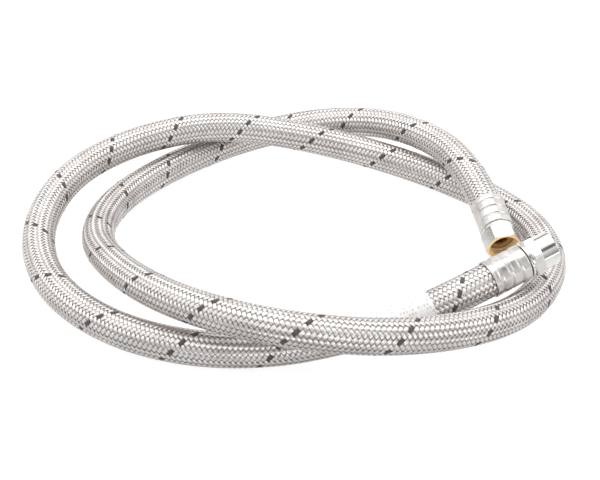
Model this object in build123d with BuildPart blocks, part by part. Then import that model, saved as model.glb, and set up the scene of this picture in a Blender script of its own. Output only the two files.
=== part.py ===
from build123d import *
import os
from math import pi, radians, sqrt, tan

# A braided water supply line: a rubber hose in a woven steel braid, crimped at each end onto a
# stem that carries a swivel nut. It lies in two loose loops on a floor at z = 0.
# Millimetres, +Z up, the origin on the floor under the middle of the loops.

# Hose, radii from the middle outwards
WATERWAY_R = 6.35
LINER_R = 8.4
BRAID_R = 9.2
LABEL_R = 9.35

# Label, from the hose's cut end B back along the hose
LABEL_START = 51.5
LABEL_LENGTH = 46.0

# Everything on a fitting is placed along its axis from the hose's cut end, outwards positive
# Ferrule
FERRULE_REAR = -17.5
FERRULE_FRONT = 3.5
FERRULE_R = 9.75
FERRULE_LIP_R = 9.95
FERRULE_LIP = 0.7
BELL_R = 9.3
CRIMP_REAR = -15.0
CRIMP_R = 8.8
CRIMP_GROOVES = (-13.6, -8.1, -2.3)
GROOVE_TOOL_R = 1.5
GROOVE_DEPTH = 0.45
DIE_COUNT = 8
DIE_BAND = (-7.0, -3.4)
DIE_FLAT_R = 9.42
FRONT_WALL = 1.9
NOSE_ROUND = 0.8

# Insert stem
STEM_TAIL = -15.0
STEM_BORE_R = 4.6
BARB_ROOT_R = 5.95
BARB_COUNT = 4
BARB_PITCH = 3.6
BARB_RAMP = 3.3
SHOULDER_START = 0.2
NECK_R = 6.5
LOCK_GROOVE = (1.5, 3.6)
LOCK_GROOVE_R = 5.9
FLANGE = (6.6, 8.1)
FLANGE_R = 7.3

# Sealing washer
WASHER_THICKNESS = 1.5
WASHER_R = 7.6

# Swivel nuts: a G 3/8 thread, whose minor radius is the wall that is left
THREAD_MINOR_R = 7.475
THREAD_CHAMFER = 0.8
NUT_REAR = 4.0
NUT_CLEARANCE = 0.05
WEB_FRONT = 6.4
POCKET_FRONT = 9.9
POCKET_R = 7.9
RING_FRONT = 5.2
RING_R = 9.4
NECKED_R = 8.8
HEX_REAR = 5.8
HEX_ACROSS_FLATS = 19.0
HEX_CORNER_R = HEX_ACROSS_FLATS / sqrt(3)
HEX_CHAMFER = 0.5
HEX_END_R = 10.1
NUT_A_MOUTH = 16.5
NUT_B_HEX_FRONT = 11.1
NUT_B_MOUTH = 20.5
COLLAR_R = 9.0
COLLAR_EDGE = 0.4
NUT_A_TURN = 6.0
NUT_B_TURN = 22.0

# The hose's course from cut end A to cut end B: x, y and the rise over a hose on the floor.
# Each rise to about 20 is a crossing, where the hose lies on another stretch of itself.
COURSE = [
    (116, 3, 7),
    (107, 53, 21),
    (73, 101, 23),
    (24, 126, 15),
    (-28, 123, 5),
    (-72, 95, 0),
    (-105, 49, 0),
    (-112, -3, 4),
    (-92, -52, 13),
    (-56, -97, 22),
    (-4, -125, 25),
    (57, -124, 19),
    (112, -93, 9),
    (140, -47, 5),
    (143, 3, 2),
    (122, 48, 0),
    (77, 84, 3),
    (15, 102, 14),
    (-48, 106, 22),
    (-98, 88, 19),
    (-133, 51, 15),
    (-145, 1, 7),
    (-131, -48, 2),
    (-96, -85, 0),
    (-53, -105, 0),
    (-10, -108, 1),
    (28, -101, 5),
    (61, -92, 10),
    (90, -80, 18),
    (116, -68, 26),
]
RUN_SHARE = 0.45  # of the shorter run beside a corner, taken by the corner's arc


def bend_radii(points):
    """The largest radius at each corner that its two runs have room for."""
    corners = [Vector(*point) for point in points]
    runs = [after - before for before, after in zip(corners, corners[1:])]
    radii = []
    for before, after in zip(runs, runs[1:]):
        half_turn = radians(before.get_angle(after)) / 2
        radii.append(RUN_SHARE * min(before.length, after.length) / tan(half_turn))
    return radii


def fitting_plane(cut_end, inner_point, turn):
    """A plane on the hose's cut end, z outwards along the fitting, x level before the turn."""
    outwards = (Vector(*cut_end) - Vector(*inner_point)).normalized()
    level = Vector(0, 0, 1).cross(outwards)
    turned = level.rotate(Axis((0, 0, 0), outwards), turn)
    return Plane(origin=cut_end, x_dir=turned, z_dir=outwards)


def lathe_plane(end):
    """The plane that turned profiles are drawn on: x along the fitting, y out from its axis."""
    return Plane(origin=end.origin, x_dir=end.z_dir, z_dir=end.y_dir)


def axis_of(end):
    """The axis of a fitting, outwards."""
    return Axis(end.origin, end.z_dir)


def save(builder, name):
    """Label a finished piece and write its file."""
    builder.part.label = name
    export_step(builder.part, f"parts/{name}.step")
    return builder.part


def make_tube(path, inner_r, outer_r):
    """A tube along a path, from its first point to its last."""
    section = Plane(origin=path @ 0, z_dir=path % 0)
    with BuildPart() as tube:
        with BuildSketch(section):
            Circle(outer_r)
            Circle(inner_r, mode=Mode.SUBTRACT)
        sweep(path=path)
    return tube


def make_braid(path, ends):
    """The braid, squeezed thinner where the ferrules hold it."""
    crimp_length = -CRIMP_REAR + 0.2
    with BuildPart() as braid:
        with BuildSketch(Plane(origin=path @ 0, z_dir=path % 0)):
            Circle(BRAID_R)
            Circle(LINER_R, mode=Mode.SUBTRACT)
        sweep(path=path)
        for end in ends:
            with BuildSketch(end):
                Circle(BRAID_R + 1)
                Circle(CRIMP_R, mode=Mode.SUBTRACT)
            extrude(amount=-crimp_length, mode=Mode.SUBTRACT)
    return braid


def make_ferrule(end):
    """A crimped sleeve: turned shell, round crimp grooves and one band of flat die marks."""
    lathe = lathe_plane(end)
    with BuildPart() as ferrule:
        with BuildSketch(lathe):
            with BuildLine():
                Polyline(
                    (FERRULE_REAR, BELL_R),
                    (FERRULE_REAR, FERRULE_LIP_R),
                    (FERRULE_REAR + FERRULE_LIP, FERRULE_LIP_R),
                    (FERRULE_REAR + FERRULE_LIP, FERRULE_R),
                    (FERRULE_FRONT - NOSE_ROUND, FERRULE_R),
                    (FERRULE_FRONT, FERRULE_R - NOSE_ROUND),
                    (FERRULE_FRONT, LOCK_GROOVE_R),
                    (FERRULE_FRONT - FRONT_WALL, LOCK_GROOVE_R),
                    (FERRULE_FRONT - FRONT_WALL, CRIMP_R),
                    (CRIMP_REAR, CRIMP_R),
                    (CRIMP_REAR, BELL_R),
                    close=True,
                )
            make_face()
            for groove in CRIMP_GROOVES:
                with Locations((groove, FERRULE_R + GROOVE_TOOL_R - GROOVE_DEPTH)):
                    Circle(GROOVE_TOOL_R, mode=Mode.SUBTRACT)
        revolve(axis=axis_of(end))
        with BuildSketch(end.offset(DIE_BAND[0])):
            Circle(FERRULE_R + 1)
            RegularPolygon(DIE_FLAT_R, DIE_COUNT, major_radius=False, mode=Mode.SUBTRACT)
        extrude(amount=DIE_BAND[1] - DIE_BAND[0], mode=Mode.SUBTRACT)
    return ferrule


def make_stem(end):
    """A barbed tailpiece: barbs in the liner, a groove for the ferrule, a neck and a flange."""
    outline = [(STEM_TAIL, STEM_BORE_R)]
    for barb in range(BARB_COUNT):
        start = STEM_TAIL + barb * BARB_PITCH
        outline.append((start, BARB_ROOT_R))
        outline.append((start + BARB_RAMP, WATERWAY_R))
        outline.append((start + BARB_RAMP, BARB_ROOT_R))
    outline += [
        (SHOULDER_START, BARB_ROOT_R),
        (SHOULDER_START, NECK_R),
        (LOCK_GROOVE[0], NECK_R),
        (LOCK_GROOVE[0], LOCK_GROOVE_R),
        (LOCK_GROOVE[1], LOCK_GROOVE_R),
        (LOCK_GROOVE[1], NECK_R),
        (FLANGE[0], NECK_R),
        (FLANGE[0], FLANGE_R),
        (FLANGE[1], FLANGE_R),
        (FLANGE[1], STEM_BORE_R),
    ]
    with BuildPart() as stem:
        with BuildSketch(lathe_plane(end)):
            with BuildLine():
                Polyline(*outline, close=True)
            make_face()
        revolve(axis=axis_of(end))
    return stem


def make_washer(end):
    """A flat rubber washer on the stem's flange."""
    with BuildPart() as washer:
        with BuildSketch(end.offset(FLANGE[1])):
            Circle(WASHER_R)
            Circle(STEM_BORE_R, mode=Mode.SUBTRACT)
        extrude(amount=WASHER_THICKNESS)
    return washer


def make_nut(end, hex_front, mouth):
    """A swivel nut: rear ring, chamfered hexagon, a round collar if the mouth lies further out."""
    lathe = lathe_plane(end)
    with BuildPart() as nut:
        with BuildSketch(end.offset(HEX_REAR)):
            RegularPolygon(HEX_ACROSS_FLATS / 2, 6, major_radius=False)
        extrude(amount=hex_front - HEX_REAR)
        with BuildSketch(lathe):
            with BuildLine():
                Polyline(
                    (HEX_REAR, 0),
                    (HEX_REAR, HEX_END_R),
                    (HEX_REAR + HEX_CHAMFER, HEX_CORNER_R),
                    (hex_front - HEX_CHAMFER, HEX_CORNER_R),
                    (hex_front, HEX_END_R),
                    (hex_front, 0),
                    close=True,
                )
            make_face()
        revolve(axis=axis_of(end), mode=Mode.INTERSECT)
        with BuildSketch(end.offset(NUT_REAR)):
            Circle(RING_R)
        extrude(amount=RING_FRONT - NUT_REAR)
        with BuildSketch(end.offset(RING_FRONT)):
            Circle(NECKED_R)
        extrude(amount=HEX_REAR - RING_FRONT)
        if mouth > hex_front:
            with BuildSketch(end.offset(hex_front)):
                Circle(COLLAR_R)
            collar = extrude(amount=mouth - hex_front)
            chamfer(collar.edges().sort_by(axis_of(end))[-1], COLLAR_EDGE)
        with BuildSketch(lathe):
            with BuildLine():
                Polyline(
                    (NUT_REAR, 0),
                    (NUT_REAR, NECK_R + NUT_CLEARANCE),
                    (WEB_FRONT, NECK_R + NUT_CLEARANCE),
                    (WEB_FRONT, POCKET_R),
                    (POCKET_FRONT, POCKET_R),
                    (POCKET_FRONT, THREAD_MINOR_R),
                    (mouth - THREAD_CHAMFER, THREAD_MINOR_R),
                    (mouth, THREAD_MINOR_R + THREAD_CHAMFER),
                    (mouth, 0),
                    close=True,
                )
            make_face()
        revolve(axis=axis_of(end), mode=Mode.SUBTRACT)
    return nut


os.makedirs("parts", exist_ok=True)

points = [(x, y, BRAID_R + rise) for x, y, rise in COURSE]
radii = bend_radii(points)
print("bend radii:", [round(radius, 1) for radius in radii])

with BuildLine() as course:
    FilletPolyline(*points, radius=radii)
hose_path = course.wire()
end_a = fitting_plane(points[0], points[1], NUT_A_TURN)
end_b = fitting_plane(points[-1], points[-2], NUT_B_TURN)

liner = save(make_tube(hose_path, WATERWAY_R, LINER_R), "inner_liner")
section_area = pi * (LINER_R**2 - WATERWAY_R**2)
print("hose length:", round(hose_path.length, 1))
print("liner volume / (section x length):", round(liner.volume / (section_area * hose_path.length), 4))
save(make_braid(hose_path, (end_a, end_b)), "braid_sleeve")

label_end = 1 - LABEL_START / hose_path.length
label_begin = label_end - LABEL_LENGTH / hose_path.length
save(make_tube(hose_path.trim(label_begin, label_end), BRAID_R, LABEL_R), "identification_label")

for side, end in (("a", end_a), ("b", end_b)):
    save(make_ferrule(end), f"ferrule_{side}")
    save(make_stem(end), f"insert_stem_{side}")
    save(make_washer(end), f"sealing_washer_{side}")
save(make_nut(end_a, NUT_A_MOUTH, NUT_A_MOUTH), "swivel_nut_a")
save(make_nut(end_b, NUT_B_HEX_FRONT, NUT_B_MOUTH), "swivel_nut_b")
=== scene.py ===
import sys
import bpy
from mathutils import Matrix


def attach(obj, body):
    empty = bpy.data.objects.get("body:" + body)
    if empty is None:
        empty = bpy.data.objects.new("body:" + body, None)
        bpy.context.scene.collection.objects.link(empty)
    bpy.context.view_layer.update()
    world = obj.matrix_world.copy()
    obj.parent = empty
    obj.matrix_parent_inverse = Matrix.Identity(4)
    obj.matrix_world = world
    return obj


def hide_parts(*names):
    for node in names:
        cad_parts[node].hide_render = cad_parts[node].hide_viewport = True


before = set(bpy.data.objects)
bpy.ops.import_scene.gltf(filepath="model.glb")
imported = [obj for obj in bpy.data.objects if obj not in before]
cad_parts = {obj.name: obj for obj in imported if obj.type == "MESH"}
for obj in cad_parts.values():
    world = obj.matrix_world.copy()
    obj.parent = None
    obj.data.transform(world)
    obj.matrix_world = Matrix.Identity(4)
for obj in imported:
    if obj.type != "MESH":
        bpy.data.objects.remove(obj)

"""Looks of a braided water supply line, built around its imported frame.

The hose lies in two loose loops. A woven braid of steel wires covers a rubber tube, and at each
end a crimped ferrule holds it on a brass stem with a free-turning swivel nut. The route and the
studio are in metres. Other sizes are in millimetres until they reach Blender, which works in
metres in the frame's own axes. On a fitting, a station counts outwards from the hose's cut end.
"""

import logging
import math
from dataclasses import dataclass, field
from enum import Enum
from typing import Callable, Sequence

import bpy
import numpy as np
from mathutils import Vector

logging.basicConfig(level=logging.INFO, format="%(message)s", stream=sys.stdout)
log = logging.getLogger("supply_line")

MM = 0.001

HOSE_R = 9.2  # over the braid
LINER_R = 8.4
CRIMPED_R = 8.72  # over the braid under a ferrule
FERRULE_REAR = -17.5  # station of a ferrule's rear edge
MARK_STRETCH = 0.4  # UV per radian of turn: far below a radius, so tool marks run round the axis
SHARP_EDGE = math.radians(32)

# The route from cut end A to cut end B, in metres: x, y and the rise over a hose on the floor.
ROUTE = [
    (0.116, 0.003, 0.007), (0.107, 0.053, 0.021), (0.073, 0.101, 0.023),
    (0.024, 0.126, 0.015), (-0.028, 0.123, 0.005), (-0.072, 0.095, 0.000),
    (-0.105, 0.049, 0.000), (-0.112, -0.003, 0.004), (-0.092, -0.052, 0.013),
    (-0.056, -0.097, 0.022), (-0.004, -0.125, 0.025), (0.057, -0.124, 0.019),
    (0.112, -0.093, 0.009), (0.140, -0.047, 0.005), (0.143, 0.003, 0.002),
    (0.122, 0.048, 0.000), (0.077, 0.084, 0.003), (0.015, 0.102, 0.014),
    (-0.048, 0.106, 0.022), (-0.098, 0.088, 0.019), (-0.133, 0.051, 0.015),
    (-0.145, 0.001, 0.007), (-0.131, -0.048, 0.002), (-0.096, -0.085, 0.000),
    (-0.053, -0.105, 0.000), (-0.010, -0.108, 0.001), (0.028, -0.101, 0.005),
    (0.061, -0.092, 0.010), (0.090, -0.080, 0.018), (0.116, -0.068, 0.026),
]


class Slot(Enum):
    """The record's material slots."""

    LINER = "liner_rubber"
    BRAID = "braid_steel"
    LABEL = "label_film"
    FERRULE = "ferrule_steel"
    STEM = "stem_brass"
    WASHER = "washer_rubber"
    NUT = "nut_plated"


class Body(Enum):
    """The frame's rigid bodies."""

    HOSE = "hose"
    NUT_A = "nut_a"
    NUT_B = "nut_b"


# ---------------------------------------------------------------- colour and node helpers


def linear(colour: str) -> tuple[float, float, float, float]:
    """An sRGB hex colour as Blender's linear RGBA.

    Args:
        colour: six hex digits after a hash, such as "#d8d4cf".

    Returns:
        Linear red, green, blue and an alpha of 1.
    """
    parts = [int(colour[i : i + 2], 16) / 255 for i in (1, 3, 5)]
    flat = [c / 12.92 if c <= 0.04045 else ((c + 0.055) / 1.055) ** 2.4 for c in parts]
    return (flat[0], flat[1], flat[2], 1.0)


Stops = Sequence[tuple[float, str]]


def add(
    tree: bpy.types.NodeTree, kind: str, inputs: dict | None = None, stops: Stops = (), **settings
) -> bpy.types.Node:
    """Adds one shader node.

    Args:
        tree: the node tree it goes in.
        kind: its type without the "ShaderNode" prefix.
        inputs: socket name or index to a value, or to the output socket that feeds it.
        stops: a colour ramp's (position, hex colour) pairs, at least two.
        settings: the node's own attributes.

    Returns:
        The new node.
    """
    made = tree.nodes.new("ShaderNode" + kind)
    for name, value in settings.items():
        setattr(made, name, value)
    if stops:
        elements = made.color_ramp.elements
        while len(elements) < len(stops):
            elements.new(0.5)
        for element, (place, colour) in zip(elements, stops):
            element.position, element.color = place, linear(colour)
    for key, value in (inputs or {}).items():
        if isinstance(value, bpy.types.NodeSocket):
            tree.links.new(value, made.inputs[key])
        else:
            made.inputs[key].default_value = value
    return made


def cells(size: float) -> float:
    """The scale of a texture whose cells are this many millimetres, on coordinates in metres."""
    return 1.0 / (size * MM)


def material(
    name: str, metallic: float, roughness: float, colour: str
) -> tuple[bpy.types.Material, bpy.types.Node]:
    """A principled material with its uniform values on the shader's own sockets.

    Args:
        name: what the surface really is.
        metallic: 1 for bare or plated metal, 0 otherwise.
        roughness: the surface's mean roughness.
        colour: its base colour where nothing drives it.

    Returns:
        The material and its principled shader.
    """
    made = bpy.data.materials.new(name)
    made.use_nodes = True
    shader = made.node_tree.nodes["Principled BSDF"]
    shader.inputs["Metallic"].default_value = metallic
    shader.inputs["Roughness"].default_value = roughness
    shader.inputs["Base Color"].default_value = linear(colour)
    return made, shader


@dataclass(frozen=True)
class WireFinish:
    """A flat bundle of fine wires; its UV runs across it (x) and once per weave repeat (y)."""

    name: str
    bright: str
    # The dull colour serves both the duller patches and the painted shade in the seams between wires.
    dull_and_seam_shade: str
    metallic: float
    roughness: float
    anisotropy: float
    wires: int = 8
    wire_height: float = 0.06
    patch: float = 18.18  # of the duller lengths of wire
    crossing_shade: float = 0.42  # how bright the painted shade leaves the metal at a crossing
    unshaded_above: float = 0.75  # how far over its neighbours a float has no painted shade

    def make(self) -> bpy.types.Material:
        """Drawn wire: bright along each wire's crest, with painted shade darkening the seams between wires.
        """
        made, shader = material(self.name, self.metallic, self.roughness, self.bright)
        tree = made.node_tree
        uv = add(tree, "UVMap", uv_map="wires")
        split = add(tree, "SeparateXYZ", {0: uv.outputs["UV"]})
        across = add(
            tree, "Math", {0: split.outputs["X"], 1: self.wires * math.tau}, operation="MULTIPLY"
        )
        crest = add(tree, "Math", {0: across.outputs[0]}, operation="COSINE")
        crest = add(tree, "Math", {0: crest.outputs[0], 1: -0.5, 2: 0.5}, operation="MULTIPLY_ADD")
        # Handling marks: some lengths of wire are a little duller than their neighbours.
        place = add(tree, "TexCoord")
        grime = add(
            tree, "TexNoise",
            {"Vector": place.outputs["Object"], "Scale": cells(self.patch), "Detail": 3.0,
             "Roughness": 0.6},
        )
        # Painted shade: the colour runs darker into the seams between wires, besides the bump's own
        # shading.
        tone = add(tree, "Math", {0: crest.outputs[0], 1: 0.55}, operation="MULTIPLY")
        tone = add(
            tree, "Math", {0: grime.outputs["Fac"], 1: 0.7, 2: tone.outputs[0]}, operation="MULTIPLY_ADD"
        )
        metal = add(tree, "ValToRGB", {"Fac": tone.outputs[0]}, [(0.25, self.dull_and_seam_shade), (0.72, self.bright)])
        # Painted shade: the colour darkens where a bundle dives under its neighbours, so each float reads
        # as a grain.
        turn = add(tree, "Math", {0: split.outputs["Y"], 1: math.tau}, operation="MULTIPLY")
        over = add(tree, "Math", {0: turn.outputs[0]}, operation="COSINE")
        crossing_shading = add(
            tree, "MapRange",
            {"Value": over.outputs[0], "From Min": 0.0, "From Max": self.unshaded_above,
             "To Min": self.crossing_shade, "To Max": 1.0},
            interpolation_type="SMOOTHSTEP",
        )
        shaded = add(
            tree, "VectorMath", {0: metal.outputs["Color"], "Scale": crossing_shading.outputs[0]}, operation="SCALE"
        )
        tree.links.new(shaded.outputs[0], shader.inputs["Base Color"])
        bump = add(
            tree, "Bump",
            {"Height": crest.outputs[0], "Strength": 0.55, "Distance": self.wire_height * MM},
        )
        tree.links.new(bump.outputs["Normal"], shader.inputs["Normal"])
        tangent = add(tree, "Tangent", direction_type="UV_MAP", uv_map="wires")
        tree.links.new(tangent.outputs[0], shader.inputs["Tangent"])
        shader.inputs["Anisotropic"].default_value = self.anisotropy
        return made


@dataclass(frozen=True)
class MetalFinish:
    """A solid metal surface with fine tool marks and faint cloudiness."""

    name: str
    colour: str
    shade: str
    roughness: float
    marks_per_mm: float
    mark_height: float
    cloud: float = 6.25

    def make(self) -> bpy.types.Material:
        """Turned or pressed metal: marks too fine to see singly, which soften and smear the gloss."""
        made, shader = material(self.name, 1.0, self.roughness, self.colour)
        tree = made.node_tree
        place = add(tree, "TexCoord")
        cloud = add(
            tree, "TexNoise", {"Vector": place.outputs["Object"], "Scale": cells(self.cloud), "Detail": 3.0}
        )
        stops = [(0.3, self.shade), (0.62, self.colour)]
        tint = add(tree, "ValToRGB", {"Fac": cloud.outputs["Fac"]}, stops)
        tree.links.new(tint.outputs["Color"], shader.inputs["Base Color"])
        rough = add(
            tree, "MapRange",
            {"Value": cloud.outputs["Fac"], "From Min": 0.3, "From Max": 0.7,
             "To Min": self.roughness * 0.8, "To Max": self.roughness * 1.3},
        )
        tree.links.new(rough.outputs[0], shader.inputs["Roughness"])
        uv = add(tree, "UVMap", uv_map="turned")
        marks = add(
            tree, "TexNoise", {"Vector": uv.outputs["UV"], "Scale": self.marks_per_mm, "Detail": 2.0}
        )
        bump = add(
            tree, "Bump",
            {"Height": marks.outputs["Fac"], "Strength": 0.4, "Distance": self.mark_height * MM},
        )
        tree.links.new(bump.outputs["Normal"], shader.inputs["Normal"])
        return made


@dataclass(frozen=True)
class RubberFinish:
    """Moulded or extruded rubber."""

    name: str
    colour: str
    bloom: str
    roughness: float
    bloom_patch: float = 11.11
    grain: float = 0.3846
    grain_height: float = 0.04

    def make(self) -> bpy.types.Material:
        """Rubber with a paler or darker bloom in patches and a fine matt grain."""
        made, shader = material(self.name, 0.0, self.roughness, self.colour)
        tree = made.node_tree
        place = add(tree, "TexCoord")
        bloom = add(
            tree, "TexNoise",
            {"Vector": place.outputs["Object"], "Scale": cells(self.bloom_patch), "Detail": 4.0},
        )
        stops = [(0.35, self.colour), (0.75, self.bloom)]
        tint = add(tree, "ValToRGB", {"Fac": bloom.outputs["Fac"]}, stops)
        tree.links.new(tint.outputs["Color"], shader.inputs["Base Color"])
        grain = add(
            tree, "TexNoise", {"Vector": place.outputs["Object"], "Scale": cells(self.grain), "Detail": 2.0}
        )
        bump = add(
            tree, "Bump",
            {"Height": grain.outputs["Fac"], "Strength": 0.3, "Distance": self.grain_height * MM},
        )
        tree.links.new(bump.outputs["Normal"], shader.inputs["Normal"])
        return made


@dataclass(frozen=True)
class FilmFinish:
    """A wrapped white label; the UV runs along (x) and round (y) the hose, in millimetres."""

    name: str
    colour: str
    print_colour: str
    block_width: float = 1.6
    row_height: float = 2.1
    gap: float = 0.3
    pucker: float = 7.69
    pucker_height: float = 0.3

    def make(self) -> bpy.types.Material:
        """Satin film with faint grey marks and the slight puckers of a wrap on a round hose."""
        made, shader = material(self.name, 0.0, 0.42, self.colour)
        tree = made.node_tree
        # Rows of plain blocks in two faint tones, which spell nothing.
        uv = add(tree, "UVMap", uv_map="film")
        blocks = add(
            tree, "TexBrick",
            {"Vector": uv.outputs["UV"], "Color1": linear(self.print_colour), "Color2": linear(self.colour),
             "Mortar": linear(self.colour), "Scale": 1.0, "Mortar Size": self.gap, "Mortar Smooth": 0.2,
             "Bias": 0.1, "Brick Width": self.block_width, "Row Height": self.row_height},
        )
        tree.links.new(blocks.outputs["Color"], shader.inputs["Base Color"])
        place = add(tree, "TexCoord")
        pucker = add(
            tree, "TexNoise",
            {"Vector": place.outputs["Object"], "Scale": cells(self.pucker), "Detail": 3.0},
        )
        bump = add(
            tree, "Bump",
            {"Height": pucker.outputs["Fac"], "Strength": 0.25, "Distance": self.pucker_height * MM},
        )
        tree.links.new(bump.outputs["Normal"], shader.inputs["Normal"])
        shader.inputs["Coat Weight"].default_value = 0.25
        shader.inputs["Coat Roughness"].default_value = 0.2
        return made


class Finishes:
    """Every material of the object, made once."""

    def __init__(self) -> None:
        # Drawn stainless wire: near-white where it faces the light, warm grey in the painted shade between
        # wires and where floats cross.
        self.steel_wire = WireFinish("stainless_braid_wire", "#f6f2ef", "#aea5a1", 1.0, 0.27, 0.6).make()
        # One carrier of black-coated wire, which marks the braid.
        self.tracer_wire = WireFinish("black_tracer_wire", "#5a504d", "#2e2826", 0.0, 0.45, 0.3).make()
        # Extruded EPDM tube, seen only as dark specks between the wires.
        self.liner = RubberFinish("black_epdm_tube", "#2a2726", "#3d3a38", 0.75).make()
        # Moulded washer, matt tan with browner patches, at the bottom of a nut's mouth.
        self.washer = RubberFinish("tan_rubber_washer", "#c79f6c", "#b48a58", 0.6).make()
        # Pressed stainless sleeve, bright, with soft draw marks.
        pressed = MetalFinish("pressed_stainless_ferrule", "#e2dfdc", "#cbc6c3", 0.3, 30.0, 0.02)
        self.ferrule = pressed.make()
        # Bright nickel plate over turned brass: close to a mirror, very slightly warm.
        self.nickel = MetalFinish("bright_nickel_plate", "#f0efec", "#e2e0dc", 0.09, 40.0, 0.012).make()
        # Bare turned brass inside the nuts and on their end faces.
        self.brass = MetalFinish("bare_turned_brass", "#ffe6b8", "#f6d09a", 0.36, 40.0, 0.02).make()
        # Printed film with a thin clear coat: flat white with a soft sheen.
        self.label = FilmFinish("white_label_film", "#fbfbfa", "#c9c9ca").make()


# ---------------------------------------------------------------- geometry helpers


def mesh_object(
    name: str, verts: np.ndarray, quads: np.ndarray, materials: Sequence[bpy.types.Material]
) -> bpy.types.Object:
    """A mesh object from arrays of points (in metres) and four-sided faces.

    Args:
        name: the piece's name.
        verts: points, one row each.
        quads: four vertex numbers per row.
        materials: the object's material slots.

    Returns:
        The linked object, smooth shaded.
    """
    data = bpy.data.meshes.new(name)
    data.vertices.add(len(verts))
    data.vertices.foreach_set("co", verts.astype(np.float32).ravel())
    data.loops.add(quads.size)
    data.loops.foreach_set("vertex_index", quads.astype(np.int32).ravel())
    data.polygons.add(len(quads))
    data.polygons.foreach_set("loop_start", np.arange(0, quads.size, 4, dtype=np.int32))
    data.polygons.foreach_set("use_smooth", np.ones(len(quads), dtype=bool))
    data.update(calc_edges=True)
    data.validate()
    for made in materials:
        data.materials.append(made)
    piece = bpy.data.objects.new(name, data)
    bpy.context.scene.collection.objects.link(piece)
    return piece


def set_uv(piece: bpy.types.Object, layer: str, uv: np.ndarray, quads: np.ndarray) -> None:
    """Gives a piece a UV layer from one (u, v) per vertex.

    Args:
        piece: the mesh object.
        layer: the layer's name.
        uv: one row per vertex.
        quads: the faces, in the order they were added.
    """
    made = piece.data.uv_layers.new(name=layer)
    made.data.foreach_set("uv", uv[quads.ravel()].astype(np.float32).ravel())


def grid_quads(
    rows: int, columns: int, wrap_rows: bool = False, wrap_columns: bool = False
) -> np.ndarray:
    """The faces of a grid of points, numbered row by row.

    Args:
        rows: how many rows of points.
        columns: how many points in a row.
        wrap_rows: whether the last row joins the first.
        wrap_columns: whether each row is a closed ring.

    Returns:
        Four vertex numbers per face.
    """
    i = np.arange(rows if wrap_rows else rows - 1)
    j = np.arange(columns if wrap_columns else columns - 1)
    i, j = np.meshgrid(i, j, indexing="ij")
    i, j = i.ravel(), j.ravel()
    i2, j2 = (i + 1) % rows, (j + 1) % columns
    return np.stack([i * columns + j, i2 * columns + j, i2 * columns + j2, i * columns + j2], 1)


def smooth_step(x: np.ndarray) -> np.ndarray:
    """Rises smoothly from 0 to 1 as x does, and is flat beyond."""
    t = np.clip(x, 0.0, 1.0)
    return t * t * (3 - 2 * t)


def soft_min(a: np.ndarray, b: np.ndarray | float, edge: float) -> np.ndarray:
    """The lesser of two radii, with the edge where they cross rounded by this many millimetres."""
    return -edge * np.logaddexp(-a / edge, -b / edge)


@dataclass
class Centreline:
    """The hose's smooth centreline and a level frame along it, in millimetres."""

    route: Sequence[tuple[float, float, float]]
    points: np.ndarray = field(init=False)
    station: np.ndarray = field(init=False)
    along: np.ndarray = field(init=False)
    up: np.ndarray = field(init=False)
    side: np.ndarray = field(init=False)

    def __post_init__(self) -> None:
        """Reads the route's NURBS spline and works out the frame at each of its points."""
        self.points = self._spline_points()
        steps = np.linalg.norm(np.diff(self.points, axis=0), axis=1)
        self.station = np.concatenate([[0.0], np.cumsum(steps)])
        along = np.gradient(self.points, self.station, axis=0)
        self.along = along / np.linalg.norm(along, axis=1)[:, None]
        lifted = np.array([0.0, 0.0, 1.0]) - self.along[:, 2:3] * self.along
        self.up = lifted / np.linalg.norm(lifted, axis=1)[:, None]
        self.side = np.cross(self.along, self.up)

    @property
    def length(self) -> float:
        """The length from cut end to cut end."""
        return float(self.station[-1])

    def _spline_points(self) -> np.ndarray:
        """The points of the NURBS spline whose control points are the route's."""
        data = bpy.data.curves.new("route", "CURVE")
        data.dimensions = "3D"
        data.resolution_u = 48
        spline = data.splines.new("NURBS")
        spline.points.add(len(self.route) - 1)
        for point, (x, y, rise) in zip(spline.points, self.route):
            point.co = (x / MM, y / MM, HOSE_R + rise / MM, 1.0)
        spline.order_u = 3
        spline.use_endpoint_u = True
        carrier = bpy.data.objects.new("route", data)
        bpy.context.scene.collection.objects.link(carrier)
        bpy.context.view_layer.update()
        mesh = bpy.data.meshes.new_from_object(carrier)
        found = np.zeros(len(mesh.vertices) * 3, np.float32)
        mesh.vertices.foreach_get("co", found)
        bpy.data.objects.remove(carrier)
        bpy.data.meshes.remove(mesh)
        bpy.data.curves.remove(data)
        found = found.reshape(-1, 3).astype(float)
        keep = np.ones(len(found), bool)
        keep[1:] = np.linalg.norm(np.diff(found, axis=0), axis=1) > 1e-4
        return found[keep]

    def at(self, station: np.ndarray, radius: np.ndarray, angle: np.ndarray) -> np.ndarray:
        """Points round the hose, in metres.

        Args:
            station: distance along the hose from cut end A.
            radius: distance out from the centreline.
            angle: turn from up towards the right of travel, in radians.

        Returns:
            One row per point.
        """
        flat = station.ravel()
        centre, up, side = (
            np.stack([np.interp(flat, self.station, known[:, k]) for k in range(3)], 1)
            for known in (self.points, self.up, self.side)
        )
        up /= np.linalg.norm(up, axis=1)[:, None]
        side /= np.linalg.norm(side, axis=1)[:, None]
        out = np.cos(angle.ravel())[:, None] * up + np.sin(angle.ravel())[:, None] * side
        return (centre + radius.ravel()[:, None] * out) * MM


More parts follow.
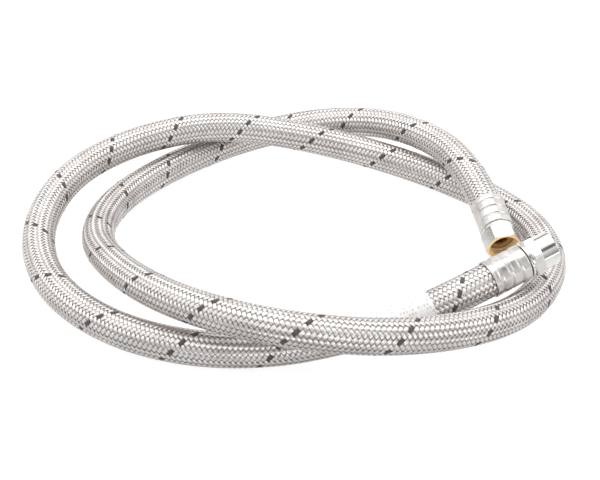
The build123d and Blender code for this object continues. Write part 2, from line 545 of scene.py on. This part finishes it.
@dataclass(frozen=True)
class FittingAxis:
    """A fitting's axis: its origin is the hose's cut end, and stations grow outwards."""

    cut_end: tuple[float, float, float]
    inner: tuple[float, float, float]
    turn: float

    @property
    def out(self) -> np.ndarray:
        """The direction outwards along the fitting."""
        axis = np.array(self.cut_end, float) - np.array(self.inner, float)
        return axis / np.linalg.norm(axis)

    def ring(self, station: float, radius: np.ndarray, angle: np.ndarray) -> np.ndarray:
        """Points round the axis, in metres.

        Args:
            station: distance outwards from the cut end.
            radius: distance from the axis, one for each angle.
            angle: turn about the axis from the nut's first corner, in radians.

        Returns:
            One row per angle.
        """
        out = self.out
        level = np.cross([0.0, 0.0, 1.0], out)
        level /= np.linalg.norm(level)
        turned = angle + math.radians(self.turn)
        spokes = np.cos(turned)[:, None] * level + np.sin(turned)[:, None] * np.cross(out, level)
        base = np.array(self.cut_end, float) + out * station
        return (base + radius[:, None] * spokes) * MM


def route_end(first: int, second: int, turn: float) -> FittingAxis:
    """The fitting axis at one end of the route."""
    cut_end, inner = (
        (x / MM, y / MM, HOSE_R + rise / MM) for x, y, rise in (ROUTE[first], ROUTE[second])
    )
    return FittingAxis(cut_end, inner, turn)


def rounded(corners: Sequence[tuple[float, float, float]], steps: int = 4) -> list[tuple[float, float]]:
    """A closed outline with each corner rounded.

    Args:
        corners: (station, radius, corner rounding) in order round the section.
        steps: how many segments each rounding has.

    Returns:
        (station, radius) points.
    """
    made: list[tuple[float, float]] = []
    count = len(corners)
    for k, (x, r, rounding) in enumerate(corners):
        here = Vector((x, r))
        before = Vector(corners[k - 1][:2]) - here
        after = Vector(corners[(k + 1) % count][:2]) - here
        if rounding <= 0:
            made.append((x, r))
            continue
        half = before.angle(after) / 2
        reach = min(rounding / math.tan(half), 0.48 * before.length, 0.48 * after.length)
        start, end = here + before.normalized() * reach, here + after.normalized() * reach
        for step in range(steps + 1):
            t = step / steps
            point = start.lerp(here, t).lerp(here.lerp(end, t), t)
            made.append((point.x, point.y))
    return made


def densified(
    outline: Sequence[tuple[float, float]], spans: Sequence[tuple[float, float, float]]
) -> list[tuple[float, float]]:
    """An outline with extra points where it runs along chosen spans.

    Args:
        outline: (station, radius) points of a closed section.
        spans: (first station, last station, spacing) to divide finely.

    Returns:
        The outline with the points added.
    """
    made: list[tuple[float, float]] = []
    for k, (x0, r0) in enumerate(outline):
        x1, r1 = outline[(k + 1) % len(outline)]
        gaps = [
            gap for low, high, gap in spans if low - 1e-6 <= min(x0, x1) and max(x0, x1) <= high + 1e-6
        ]
        spacing = min(gaps, default=0.0)
        pieces = max(1, math.ceil(math.hypot(x1 - x0, r1 - r0) / spacing)) if spacing else 1
        made += [(x0 + (x1 - x0) * i / pieces, r0 + (r1 - r0) * i / pieces) for i in range(pieces)]
    return made


Shape = Callable[[float, float, np.ndarray], np.ndarray]


def turned(
    name: str, axis: FittingAxis, outline: Sequence[tuple[float, float]], sides: int,
    materials: Sequence[bpy.types.Material], shape: Shape | None = None,
    paint: Callable[[float, float], int] | None = None,
) -> bpy.types.Object:
    """A closed section carried round a fitting's axis.

    Args:
        name: the piece's name.
        axis: the fitting's axis.
        outline: (station, radius) points round the closed section.
        sides: how many divisions the turn has.
        materials: the piece's materials.
        shape: changes a ring's radii by angle, such as for a hexagon or a thread.
        paint: the material index at a (station, radius) of the section.

    Returns:
        The linked object. Its "turned" UV layer runs round it (x) and along its section (y).
    """
    angle = np.arange(sides) * math.tau / sides
    rings, uv = [], []
    run = 0.0
    for k, (x, r) in enumerate(outline):
        radii = np.full(sides, r) if shape is None else shape(x, r, angle)
        rings.append(axis.ring(x, radii, angle))
        run += math.dist(outline[k - 1], (x, r)) if k else 0.0
        uv.append(np.stack([angle * MARK_STRETCH, np.full(sides, run)], 1))
    quads = grid_quads(len(outline), sides, wrap_rows=True, wrap_columns=True)
    piece = mesh_object(name, np.concatenate(rings), quads, materials)
    set_uv(piece, "turned", np.concatenate(uv), quads)
    if paint is not None:
        index = [paint(*outline[k]) for k in range(len(outline))]
        piece.data.polygons.foreach_set("material_index", np.repeat(np.array(index, np.int32), sides))
    piece.data.set_sharp_from_angle(angle=SHARP_EDGE)
    log.info("%s: %d faces", name, len(quads))
    return piece


def tube(
    name: str, line: Centreline, start: float, end: float, radius: float, sides: int, step: float,
    materials: Sequence[bpy.types.Material],
) -> bpy.types.Object:
    """A plain skin round part of the hose.

    Args:
        name: the piece's name.
        line: the hose's centreline.
        start: first station along it.
        end: last station.
        radius: the skin's radius.
        sides: divisions round it.
        step: spacing of its rings.
        materials: its materials.

    Returns:
        The linked object.
    """
    stations = np.linspace(start, end, max(2, round((end - start) / step) + 1))
    angles = np.arange(sides) * math.tau / sides
    s, a = np.meshgrid(stations, angles, indexing="ij")
    quads = grid_quads(len(stations), sides, wrap_columns=True)[:, ::-1]
    piece = mesh_object(name, line.at(s, np.full_like(s, radius), a), quads, materials)
    log.info("%s: %d faces", name, len(quads))
    return piece


# ---------------------------------------------------------------- the hose


@dataclass
class Braid:
    """The woven wire braid: two sets of flat wire bundles that pass over two and under two.

    A point's place in the weave is (i, j): how many bundles of each set lie before it. The
    left-handed set runs along constant i, the right-handed set along constant j.
    """

    line: Centreline
    bundles: int = 18  # in each set
    pitch: float = 46.68  # of one turn of a bundle, along the hose
    tracer_station: float = 45.0  # where the tracer passes the top of the hose
    row_phase: float = 22.0  # degrees, the middle of a row of left-handed floats
    twist: float = 0.50  # radians, how far the braid turns back and forth along the loops
    twist_length: float = 670.0
    twist_peak: float = 49.0
    crown: float = 9.2
    clear: float = 0.3  # from each cut end to the first wire
    squeeze_run: float = 3.0  # over which a ferrule's squeeze grows
    wave: float = 0.34  # half the height between an upper and a lower float
    droop: float = 0.32  # of a bundle's edges
    fill: float = 0.92  # of the spacing that a bundle covers
    steps: int = 3  # along, per crossing
    across: int = 3
    arch: float = 1.2  # how flat-topped a float is: small is a plain arch

    @property
    def gap(self) -> float:
        """Degrees round the hose from one bundle of a set to the next."""
        return 360.0 / self.bundles

    def _phases(self) -> tuple[float, float]:
        """The angles, in degrees, that bundle 0 of each set has at station 0."""
        a = 360.0 * self.tracer_station / self.pitch
        b = 2 * (self.row_phase + self.gap / 4) - a
        return a, b - self.gap

    def _place(self, i: np.ndarray, j: np.ndarray) -> tuple[np.ndarray, np.ndarray]:
        """Where a place in the weave lies on the hose.

        Args:
            i: how many left-handed bundles lie before it.
            j: how many right-handed bundles lie before it.

        Returns:
            Its station and its angle round the hose.
        """
        a, b = self._phases()
        station = self.pitch / 720.0 * (self.gap * (i - j) + a - b)
        level = np.radians((a + b) / 2 + self.gap / 2 * (i + j))
        swing = self.twist * np.cos(math.tau * (station - self.twist_peak) / self.twist_length)
        return station, level + swing

    def _radius(self, over: np.ndarray, edge: np.ndarray, station: np.ndarray) -> np.ndarray:
        """The bundle's surface radius.

        Args:
            over: from -1, under the other set, to 1, over it.
            edge: from 0 at the bundle's middle to 1 at its edges.
            station: along the hose; the ferrules squeeze both ends.

        Returns:
            One radius per point.
        """
        radius = self.crown - self.wave + self.wave * over - self.droop * edge**2
        inside = np.minimum(station, self.line.length - station)
        squeeze = smooth_step((-FERRULE_REAR + 0.5 - inside) / self.squeeze_run)
        return radius - (self.crown - CRIMPED_R) * squeeze

    def _bundle(self, number: int, left: bool) -> tuple[np.ndarray, np.ndarray, np.ndarray]:
        """One bundle.

        Args:
            number: which bundle of its set.
            left: whether it is of the left-handed set.

        Returns:
            Its points, faces and UV.
        """
        a, b = self._phases()
        spread = np.linspace(-0.5, 0.5, self.across + 1) * self.fill
        low, high = self.clear, self.line.length - self.clear
        base = (a - b) / self.gap
        reach = [2.0 * self.bundles * s / self.pitch for s in (low, high)]
        if left:
            first, last = number + base - reach[1], number + base - reach[0]
        else:
            first, last = number - base + reach[0], number - base + reach[1]
        count = int((last - first) * self.steps)
        travel = first + np.arange(count + 1) / self.steps
        t, u = np.meshgrid(travel, spread, indexing="ij")
        i, j = (number + u, t) if left else (t, number + u)
        station, angle = self._place(i, j)
        keep = np.clip(station, low, high)
        phase = (number + t) - 0.5
        swing = np.tanh(self.arch * np.cos(phase * math.pi / 2)) / math.tanh(self.arch)
        over = swing if left else -swing
        points = self.line.at(keep, self._radius(over, np.abs(u) * 2, keep), angle)
        quads = grid_quads(len(travel), len(spread))
        crossing = (phase if left else phase + 2.0) / 4.0
        uv = np.stack([(u / self.fill + 0.5).ravel(), crossing.ravel()], 1)
        return points, quads if left else quads[:, ::-1], uv

    def _join(
        self, name: str, numbers: Sequence[int], left: bool, finish: bpy.types.Material
    ) -> bpy.types.Object:
        """Several bundles as one piece.

        Args:
            name: the piece's name.
            numbers: which bundles of the set it holds.
            left: whether they are of the left-handed set.
            finish: what their wires are made of.

        Returns:
            The linked object.
        """
        points, quads, uv, offset = [], [], [], 0
        for number in numbers:
            p, q, w = self._bundle(number, left)
            points.append(p)
            quads.append(q + offset)
            uv.append(w)
            offset += len(p)
        faces = np.concatenate(quads)
        piece = mesh_object(name, np.concatenate(points), faces, [finish])
        set_uv(piece, "wires", np.concatenate(uv), faces)
        log.info("%s: %d faces", name, len(faces))
        return piece

    def build(self, finishes: Finishes) -> list[bpy.types.Object]:
        """Weaves the whole braid.

        Args:
            finishes: the object's materials.

        Returns:
            The plain bundles in four pieces, and the black tracer.
        """
        half = self.bundles // 2
        pieces = [
            self._join("braid_left_1", range(1, half + 1), True, finishes.steel_wire),
            self._join("braid_left_2", range(half + 1, self.bundles), True, finishes.steel_wire),
            self._join("braid_right_1", range(0, half), False, finishes.steel_wire),
            self._join("braid_right_2", range(half, self.bundles), False, finishes.steel_wire),
            self._join("braid_tracer", [0], True, finishes.tracer_wire),
        ]
        for piece in pieces:
            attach(piece, Body.HOSE.value)
        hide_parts("braid_sleeve")
        return pieces


@dataclass
class Label:
    """A white film wrapped round the hose near End B, its edge lapped over itself."""

    line: Centreline
    start_from_b: float = 51.5
    length: float = 46.0
    radius: float = 9.32
    lap: float = 0.12
    lap_angle: float = 3.6
    lap_turn: float = 0.35  # radians that the film goes on past a full turn
    lap_rise: float = 0.5  # radians over which it climbs onto itself
    rows: int = 63
    columns: int = 76

    def build(self, finishes: Finishes) -> bpy.types.Object:
        """Wraps the film as a spiral sheet whose end lies on its start.

        Args:
            finishes: the object's materials.

        Returns:
            The linked object.
        """
        end = self.line.length - self.start_from_b
        stations = np.linspace(end - self.length, end, self.rows)
        turns = np.linspace(0.0, math.tau + self.lap_turn, self.columns)
        s, a = np.meshgrid(stations, turns, indexing="ij")
        uv = np.stack([(s - stations[0]).ravel(), (a * self.radius).ravel()], 1)
        rise = self.lap * smooth_step((a - math.tau + self.lap_rise) / self.lap_rise)
        quads = grid_quads(len(stations), len(turns))[:, ::-1]
        points = self.line.at(s, self.radius + rise, a + self.lap_angle)
        piece = mesh_object("label_wrap", points, quads, [finishes.label])
        set_uv(piece, "film", uv, quads)
        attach(piece, Body.HOSE.value)
        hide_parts("identification_label")
        log.info("label_wrap: %d faces", len(quads))
        return piece


# ---------------------------------------------------------------- the fittings


Dents = tuple[tuple[float, float, float], ...]  # each (station, half width, depth)


@dataclass
class Ferrule:
    """A pressed steel sleeve, crimped in rings by a die with eight jaws."""

    side: str
    axis: FittingAxis
    body_r: float = 9.75
    lip_r: float = 9.95
    bell_r: float = 9.3
    bore_r: float = 8.8
    nose_r: float = 5.9
    front: float = 3.5
    nose_start: float = 2.4
    body_rear: float = -16.7
    spacing: float = 0.16  # of the rings along the sleeve
    sides: int = 128
    jaws: int = 8
    jaw_edge: float = 0.035  # rounding where two jaws' flats meet
    crimps: Dents = ((-13.7, 0.85, 0.6), (-8.1, 0.85, 0.65), (-2.2, 0.85, 0.65))
    presses: Dents = ((-15.2, 1.2, 0.16), (-11.0, 2.2, 0.18), (-4.9, 2.0, 0.32), (0.6, 2.2, 0.12))

    def _outer(self, x: float) -> float:
        """The sleeve's outside radius before the jaws' flats."""
        dip = sum(depth * math.exp(-(((x - at) / width) ** 2) * 1.6) for at, width, depth in self.crimps)
        nose = 0.5 * max(0.0, x - self.nose_start) ** 2
        return self.body_r - dip - min(nose, 1.0)

    def _flats(self, x: float) -> float:
        """How deep the jaws' flats are at a station."""
        return sum(depth * math.exp(-(((x - at) / width) ** 4)) for at, width, depth in self.presses)

    def _shape(self, x: float, r: float, angle: np.ndarray) -> np.ndarray:
        """Presses the jaws' flats into a ring on the outside.

        Args:
            x: the ring's station.
            r: its radius before the flats.
            angle: turn about the axis, one for each of its points.

        Returns:
            One radius per angle.
        """
        if r < self.bell_r + 0.01:
            return np.full(len(angle), r)
        local = ((angle * self.jaws / math.tau) % 1.0 - 0.5) * math.tau / self.jaws
        flat = (r - self._flats(x)) / np.cos(local)
        return soft_min(flat, r, self.jaw_edge)

    def build(self, finishes: Finishes) -> bpy.types.Object:
        """Turns the sleeve as one closed piece.

        Args:
            finishes: the object's materials.

        Returns:
            The linked object.
        """
        xs = np.arange(self.body_rear, self.front - 0.2, self.spacing)
        outer = [(float(x), self._outer(float(x))) for x in xs]
        web, bell = 1.6, -15.0
        inner = rounded([
            (self.front, 8.9, 0.2), (self.front, self.nose_r, 0.1), (web, self.nose_r, 0.0),
            (web, self.bore_r, 0.3), (bell, self.bore_r, 0.3), (bell, self.bell_r, 0.0),
            (FERRULE_REAR, self.bell_r, 0.1), (FERRULE_REAR, self.lip_r, 0.2),
            (-16.8, self.lip_r, 0.12), (-16.72, self.body_r, 0.0),
        ])
        piece = turned(
            f"ferrule_sleeve_{self.side}", self.axis, outer + inner, self.sides, [finishes.ferrule],
            self._shape,
        )
        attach(piece, Body.HOSE.value)
        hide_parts(f"ferrule_{self.side}")
        return piece


@dataclass
class SwivelNut:
    """A swivel nut: rear ring, hexagon and G 3/8 thread, and a round collar on the longer one."""

    side: str
    body: Body
    axis: FittingAxis
    hex_front: float
    mouth: float
    rear: float = 4.0
    ring_r: float = 9.4
    ring_front: float = 5.2
    neck_r: float = 8.85
    hex_rear: float = 5.8
    shoulder_r: float = 9.7
    chamfer: float = 1.2
    flats: float = 19.0
    collar_r: float = 9.0
    hole_r: float = 6.55
    pocket_r: float = 7.9
    thread_minor: float = 7.475
    thread_depth: float = 0.8
    thread_pitch: float = 1.337
    thread_start: float = 10.0
    pocket_rear: float = 6.4
    pocket_front: float = 9.9
    end_r: float = 10.15  # of the hexagon's chamfered end
    corner_edge: float = 0.06  # rounding of the hexagon's corners
    chamfer_edge: float = 0.05  # rounding where a chamfer meets a flat
    spacing: float = 0.07  # of the rings along a chamfer
    thread_spacing: float = 0.11  # of the rings along the thread
    sides: int = 144

    @property
    def corner(self) -> float:
        """The hexagon's corner radius."""
        return self.flats / math.sqrt(3)

    def _hexagon(self, angle: np.ndarray) -> np.ndarray:
        """The hexagon's radius by angle, its corners slightly rounded."""
        local = (angle + math.pi / 6) % (math.pi / 3) - math.pi / 6
        sharp = self.flats / 2 / np.cos(np.abs(local) - math.pi / 6)
        return soft_min(sharp, self.corner - 0.13, self.corner_edge)

    def _shape(self, x: float, r: float, angle: np.ndarray) -> np.ndarray:
        """Shapes a ring into the hexagon outside or the thread inside.

        Args:
            x: the ring's station.
            r: its radius as turned.
            angle: turn about the axis, one for each of its points.

        Returns:
            One radius per angle.
        """
        if r > self.flats / 2 and self.hex_rear - 0.01 <= x <= self.hex_front + 0.01:
            return soft_min(self._hexagon(angle), r, self.chamfer_edge)
        if abs(r - self.thread_minor) < 1e-6:
            turns = x / self.thread_pitch - angle / math.tau
            saw = np.abs((turns % 1.0) * 2 - 1)
            groove = smooth_step(saw * 1.25 - 0.12)
            start = smooth_step(np.array((x - self.thread_start) / 0.8))
            end = smooth_step(np.array((self.mouth - 0.5 - x) / 0.6))
            return r + self.thread_depth * groove * float(start * end)
        return np.full(len(angle), r)

    def _paint(self, x: float, r: float) -> int:
        """The material at a point of the section: 0 for plate, 1 for the bare face and bore."""
        inside = r < self.thread_minor + 0.9 and x > self.rear + 0.5
        face = x > self.mouth - 0.02
        return int(inside or face)

    def build(self, finishes: Finishes) -> bpy.types.Object:
        """Turns the nut as one closed piece.

        Args:
            finishes: the object's materials.

        Returns:
            The linked object.
        """
        corner = self.corner + 0.05
        chamfer_end = self.hex_rear + self.chamfer
        corners = [
            (self.rear, self.hole_r, 0.15), (self.rear, self.ring_r, 0.3),
            (self.ring_front, self.ring_r, 0.25), (self.ring_front + 0.1, self.neck_r, 0.1),
            (self.hex_rear, self.neck_r, 0.1), (self.hex_rear, self.shoulder_r, 0.06),
            (chamfer_end, corner, 0.15), (self.hex_front - 0.5, corner, 0.15),
            (self.hex_front, self.end_r, 0.06),
        ]
        if self.mouth > self.hex_front + 0.1:
            corners += [(self.hex_front, self.collar_r, 0.15), (self.mouth, self.collar_r, 0.4)]
        bevel = 0.85
        corners += [
            (self.mouth, self.thread_minor + bevel, 0.1), (self.mouth - bevel, self.thread_minor, 0.0)
        ]
        outline = rounded(corners)
        threaded = np.arange(self.mouth - 1.0, self.pocket_front + 0.05, -self.thread_spacing)
        outline += [(float(x), self.thread_minor) for x in threaded]
        outline += rounded([
            (self.pocket_front, self.thread_minor, 0.0), (self.pocket_front, self.pocket_r, 0.0),
            (self.pocket_rear, self.pocket_r, 0.1), (self.pocket_rear, self.hole_r, 0.1),
        ])
        chamfers = [
            (self.hex_rear, chamfer_end, self.spacing), (self.hex_front - 0.6, self.hex_front, self.spacing)
        ]
        piece = turned(
            f"nut_{self.side}_threaded", self.axis, densified(outline, chamfers), self.sides,
            [finishes.nickel, finishes.brass], self._shape, self._paint,
        )
        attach(piece, self.body.value)
        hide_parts(f"swivel_nut_{self.side}")
        return piece


@dataclass
class SupplyLine:
    """The whole assembly."""

    finishes: Finishes
    line: Centreline = field(init=False)

    def _dress(self, node: str, finish: bpy.types.Material) -> None:
        """Gives a CAD node its material and leaves its shape alone."""
        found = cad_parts[node]
        found.data.materials.clear()
        found.data.materials.append(finish)
        log.info("%s: dressed in %s", node, finish.name)

    def build(self) -> None:
        self.line = Centreline(ROUTE)
        log.info("hose length along its centreline: %.1f mm", self.line.length)
        hose = tube("hose_liner", self.line, 0.0, self.line.length, LINER_R, 40, 2.5, [self.finishes.liner])
        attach(hose, Body.HOSE.value)
        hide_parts("inner_liner")
        braid = Braid(self.line).build(self.finishes)
        label = Label(self.line).build(self.finishes)
        end_a, end_b = route_end(0, 1, 6.0), route_end(-1, -2, 22.0)
        Ferrule("a", end_a).build(self.finishes)
        ferrule_b = Ferrule("b", end_b).build(self.finishes)
        SwivelNut("a", Body.NUT_A, end_a, 16.5, 16.5).build(self.finishes)
        nut_b = SwivelNut("b", Body.NUT_B, end_b, 11.1, 20.5).build(self.finishes)
        for side in ("a", "b"):
            self._dress(f"insert_stem_{side}", self.finishes.brass)
            self._dress(f"sealing_washer_{side}", self.finishes.washer)


# ---------------------------------------------------------------- the studio


@dataclass(frozen=True)
class Studio:
    """Camera, floor and light."""

    eye: tuple[float, float, float] = (0.005, -0.620, 0.3816)
    target: tuple[float, float, float] = (0.005, 0.0, 0.0092)
    lens: float = 76.5
    floor_glow: float = 0.88
    floor_mirrored: float = 0.25
    floor_behind: float = 0.6
    floor_far: float = 0.95
    behind_span: tuple[float, float] = (-0.17, -0.05)  # y over which the floor grows brighter
    far_span: tuple[float, float] = (0.2, 0.5)  # distance over which it does
    room_light: float = 1.14
    bright_side: tuple[float, float, float] = (0.0, 0.45, 0.89)
    # From the dark side of the room to the bright side.
    sky: Stops = (
        (0.0, "#6a6a6a"), (0.2, "#8a8a8a"), (0.38, "#c4c4c4"), (0.62, "#f2f2f2"), (0.8, "#ffffff"),
    )
    # Each dark flag: the direction it hangs in, its half width in radians and what light it leaves.
    flags: tuple[tuple[tuple[float, float, float], float, float], ...] = (
        ((0.43, -0.47, 0.77), 0.17, 0.15),
        ((-0.09, 0.84, 0.54), 0.09, 0.25),
    )

    def camera(self) -> None:
        """The camera at the chosen viewing angle."""
        data = bpy.data.cameras.new("camera")
        data.lens = self.lens
        data.sensor_width = 36.0
        data.clip_start = 0.01
        eye = bpy.data.objects.new("camera", data)
        eye.location = self.eye
        eye.rotation_euler = (Vector(self.target) - Vector(self.eye)).to_track_quat("-Z", "Y").to_euler()
        bpy.context.scene.collection.objects.link(eye)
        bpy.context.scene.camera = eye

    def floor(self) -> None:
        """A wide white table, bright to the eye and a mid grey in the metal's reflections."""
        bpy.ops.mesh.primitive_plane_add(size=6.0, location=(0, 0, -0.0004))
        table = bpy.context.object
        table.name = "floor"
        made = bpy.data.materials.new("white_table")
        made.use_nodes = True
        tree = made.node_tree
        tree.nodes.clear()
        seen = add(tree, "BsdfDiffuse", {"Color": linear("#8c8c8c")})
        glow = add(tree, "Emission", {"Color": linear("#ffffff"), "Strength": self.floor_glow})
        white = add(tree, "AddShader", {0: seen.outputs[0], 1: glow.outputs[0]})
        place = add(tree, "TexCoord")
        split = add(tree, "SeparateXYZ", {0: place.outputs["Object"]})
        behind = add(
            tree, "MapRange",
            {"Value": split.outputs["Y"],
             "From Min": self.behind_span[0], "From Max": self.behind_span[1],
             "To Min": self.floor_mirrored, "To Max": self.floor_behind},
        )
        away = add(tree, "VectorMath", {0: place.outputs["Object"]}, operation="LENGTH")
        lift = add(
            tree, "MapRange",
            {"Value": away.outputs["Value"], "From Min": self.far_span[0], "From Max": self.far_span[1],
             "To Min": 0.0, "To Max": self.floor_far},
        )
        most = add(tree, "Math", {0: behind.outputs[0], 1: lift.outputs[0]}, operation="MAXIMUM")
        sheen = add(tree, "Emission", {"Color": linear("#ffffff"), "Strength": most.outputs[0]})
        matt = add(tree, "BsdfDiffuse", {"Color": linear("#a0a0a0")})
        mirrored = add(tree, "AddShader", {0: sheen.outputs[0], 1: matt.outputs[0]})
        path = add(tree, "LightPath")
        both = add(
            tree, "MixShader",
            {0: path.outputs["Is Camera Ray"], 1: mirrored.outputs[0], 2: white.outputs[0]},
        )
        add(tree, "OutputMaterial", {"Surface": both.outputs[0]})
        table.data.materials.append(made)

    def _softbox(
        self, name: str, place: tuple[float, float, float], size: tuple[float, float], power: float
    ) -> None:
        """Hangs one rectangular soft light, aimed at the middle of the object.

        Args:
            name: the light's name.
            place: where it hangs.
            size: its width and height.
            power: its power in watts.
        """
        data = bpy.data.lights.new(name, "AREA")
        data.shape = "RECTANGLE"
        data.size, data.size_y = size
        data.energy = power
        lamp = bpy.data.objects.new(name, data)
        lamp.location = place
        lamp.rotation_euler = (Vector((0, 0, 0)) - Vector(place)).to_track_quat("-Z", "Y").to_euler()
        bpy.context.scene.collection.objects.link(lamp)

    def room(self) -> None:
        """A pale room: bright overhead, dimmer towards the horizon, with two dark flags."""
        world = bpy.data.worlds.new("pale_room")
        world.use_nodes = True
        tree = world.node_tree
        tree.nodes.clear()
        place = add(tree, "TexCoord")
        bright_side = Vector(self.bright_side).normalized()
        height = add(
            tree, "VectorMath", {0: place.outputs["Generated"], 1: bright_side}, operation="DOT_PRODUCT"
        )
        lit = add(tree, "MapRange", {"Value": height.outputs["Value"], "From Min": -0.5, "From Max": 1.0})
        sky = add(tree, "ValToRGB", {"Fac": lit.outputs[0]}, self.sky)
        tone = sky.outputs["Color"]
        for towards, width, depth in self.flags:
            aim = Vector(towards).normalized()
            near = add(
                tree, "VectorMath", {0: place.outputs["Generated"], 1: aim}, operation="DOT_PRODUCT"
            )
            shade = add(
                tree, "MapRange",
                {"Value": near.outputs["Value"], "From Min": math.cos(width * 1.5),
                 "From Max": math.cos(width), "To Min": 1.0, "To Max": depth},
            )
            shaded = add(tree, "VectorMath", {0: tone, "Scale": shade.outputs[0]}, operation="SCALE")
            tone = shaded.outputs[0]
        room = add(tree, "Background", {"Color": tone, "Strength": self.room_light})
        seen = add(tree, "Background", {"Color": linear("#ffffff"), "Strength": 1.0})
        path = add(tree, "LightPath")
        both = add(
            tree, "MixShader", {0: path.outputs["Is Camera Ray"], 1: room.outputs[0], 2: seen.outputs[0]}
        )
        add(tree, "OutputWorld", {"Surface": both.outputs[0]})
        bpy.context.scene.world = world

    def light(self) -> None:
        """Large soft lights over and beside the object."""
        self._softbox("top_light", (0.0, 0.25, 1.3), (1.5, 0.9), 6.0)
        self._softbox("left_light", (-1.2, -0.3, 0.8), (0.7, 0.7), 2.2)
        self._softbox("right_light", (1.2, -0.2, 0.7), (0.7, 0.7), 1.6)
        self._softbox("front_card", (0.25, -0.75, 0.08), (0.5, 0.16), 0.9)
        bpy.context.scene.view_settings.view_transform = "Standard"

    def build(self) -> None:
        """Sets up the whole studio."""
        self.camera()
        self.floor()
        self.room()
        self.light()


def main() -> None:
    """Builds the object and its studio."""
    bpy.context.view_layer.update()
    Studio().build()
    SupplyLine(Finishes()).build()


if __name__ == "__main__":
    main()
